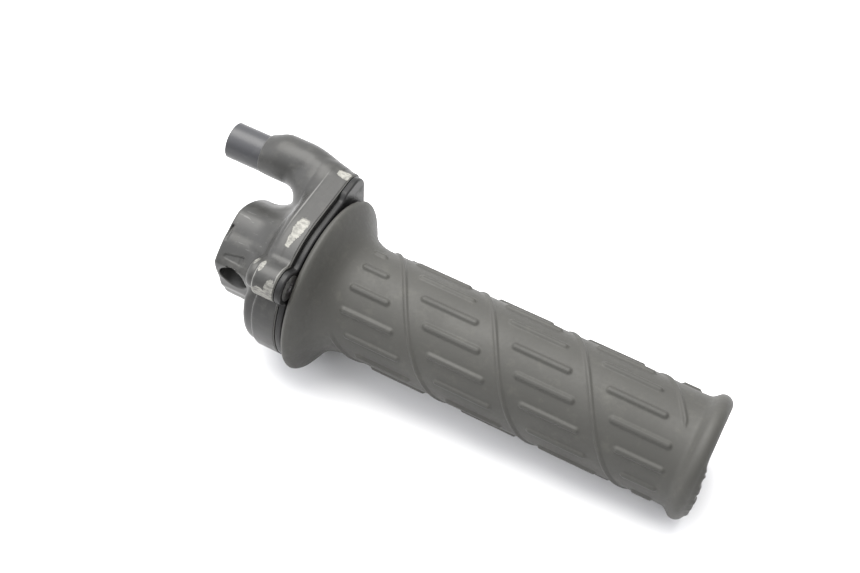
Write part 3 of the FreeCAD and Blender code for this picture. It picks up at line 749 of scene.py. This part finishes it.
def paint_cad_nodes():
    """Materials of the CAD nodes that are shown as they are."""
    looks = {
        "cover_gasket": rubber_material("gasket_look", 0.03),
        "cover_screws": bare_steel("screw_look", 0.42, 0.35, 0.3),
        "clamp_wedge": bare_steel("wedge_look", 0.35, 0.40, 0.35),
        "clamp_washer": bare_steel("washer_look", 0.45, 0.35, 0.2),
        "clamp_screw": bare_steel("clamp_screw_look", 0.10, 0.45, 0.3),
        # elbow and sleeve paint tinted cooler than the casting's, a painted bluish sheen of sky light
        "cable_elbow_tube": painted_metal("elbow_look", 0.027, cool=0.06),
        "cable_inlet_sleeve": painted_metal("sleeve_look", 0.027, cool=0.06),
        "cover_seal": rubber_material("seal_look", 0.04),
        "throttle_tube": moulded_plastic("tube_look", (0.045, 0.045, 0.045), 0.5),
        "cable_drum": moulded_plastic("drum_look", (0.50, 0.50, 0.46), 0.45),
        "drum_inner_washer": moulded_plastic("inner_washer_look", (0.72, 0.71, 0.66), 0.4),
        "drum_outer_washer": moulded_plastic("outer_washer_look", (0.70, 0.69, 0.64), 0.4),
    }
    for node, material in looks.items():
        obj = frame["nodes"][node]
        obj.data.materials.clear()
        obj.data.materials.append(material)


# ---------------------------------------------------------------- stage, lights and camera
FLOOR_RISE, FLOOR_HALF = math.radians(4.0), 4000.0


def make_floor():
    """Pale floor under the flange's rim and the end rim, so it rises a little towards the grip's end."""
    rim_x = GRIP_LOW[0] + 1.7
    height = GRIP_LOW[2] - 0.1
    verts = []
    for side_x, side_y in ((-1, -1), (1, -1), (1, 1), (-1, 1)):
        x, y = side_x * FLOOR_HALF, side_y * FLOOR_HALF
        verts.append((x, y, height + (x - rim_x) * math.tan(FLOOR_RISE)))
    floor = new_object("floor", verts, [(0, 1, 2, 3)], smooth=False)
    floor.data.materials.append(floor_material())


def area_light(name, place, target, size, power, colour):
    """Round soft light that points at the target."""
    data = bpy.data.lights.new(name, "AREA")
    data.shape = "DISK"
    data.size = size
    data.energy = power
    data.color = colour
    lamp = bpy.data.objects.new(name, data)
    lamp.location = place
    lamp.rotation_euler = (Vector(target) - Vector(place)).to_track_quat("-Z", "Y").to_euler()
    bpy.context.scene.collection.objects.link(lamp)


def make_lights():
    """Two soft lights, and a sky that is brightest overhead, a little towards the housing's end."""
    target = (0.06, 0, 0)
    area_light("soft_key", (-0.25, 0.2, 1.3), target, 1.3, 35.0, (1.0, 0.985, 0.95))
    area_light("soft_fill", (-0.9, -0.5, 0.9), target, 1.2, 5.0, (0.93, 0.94, 1.0))
    world = bpy.data.worlds.new("studio")
    world.use_nodes = True
    nodes, links = world.node_tree.nodes, world.node_tree.links
    background = nodes["Background"]
    background.inputs["Color"].default_value = (0.97, 0.975, 1.0, 1)
    direction = nodes.new("ShaderNodeTexCoord").outputs["Generated"]
    height = nodes.new("ShaderNodeVectorMath")
    height.operation = "DOT_PRODUCT"
    height.inputs[1].default_value = (-0.45, 0.1, 0.89)
    fade = nodes.new("ShaderNodeMapRange")
    fade.interpolation_type = "SMOOTHSTEP"
    for key, number in (("From Min", -0.35), ("From Max", 0.9), ("To Min", 0.15), ("To Max", 2.3)):
        fade.inputs[key].default_value = number
    links.new(direction, height.inputs[0])
    links.new(height.outputs["Value"], fade.inputs["Value"])
    links.new(fade.outputs["Result"], background.inputs["Strength"])
    bpy.context.scene.world = world
    bpy.context.scene.view_settings.view_transform = "Standard"


def make_camera():
    """Camera high up on the rider's side, near the grip's end, looking down at the middle of the part."""
    data = bpy.data.cameras.new("camera")
    data.lens = 54.4
    data.sensor_width = 36.0
    data.clip_start, data.clip_end = 0.01, 20.0
    camera = bpy.data.objects.new("camera", data)
    azimuth, elevation, roll = math.radians(23.72), math.radians(52.95), math.radians(5.14)
    target = Vector((50.16, 9.92, 6.85)) * MM
    distance = 383.9 * MM
    back = Vector((math.sin(azimuth) * math.cos(elevation), -math.cos(azimuth) * math.cos(elevation),
                   math.sin(elevation)))
    camera.rotation_mode = "QUATERNION"
    level = (-back).to_track_quat("-Z", "Y")
    camera.rotation_quaternion = level @ Matrix.Rotation(roll, 3, "Z").to_quaternion()
    camera.location = target + back * distance
    bpy.context.scene.collection.objects.link(camera)
    bpy.context.scene.camera = camera


# ---------------------------------------------------------------- the whole scene
casting_step, cover_step = ((0.33, 0.3))
casting = field_object("housing_casting", housing_field, "housing_body", casting_step)
casting.data.materials.append(casting_material())
cover = field_object("cover_plate", cover_field, "housing_cover", cover_step)
# cover paint much darker and duller than the casting's: painted shade for the shadow the flange casts over
# the cover
cover.data.materials.append(painted_metal("cover_painted_shade_look", 0.013, shine=0.18))
rubber = make_rubber()
rubber.data.materials.append(rubber_material("grip_rubber_look"))
paint_cad_nodes()
make_floor()
make_lights()
make_camera()
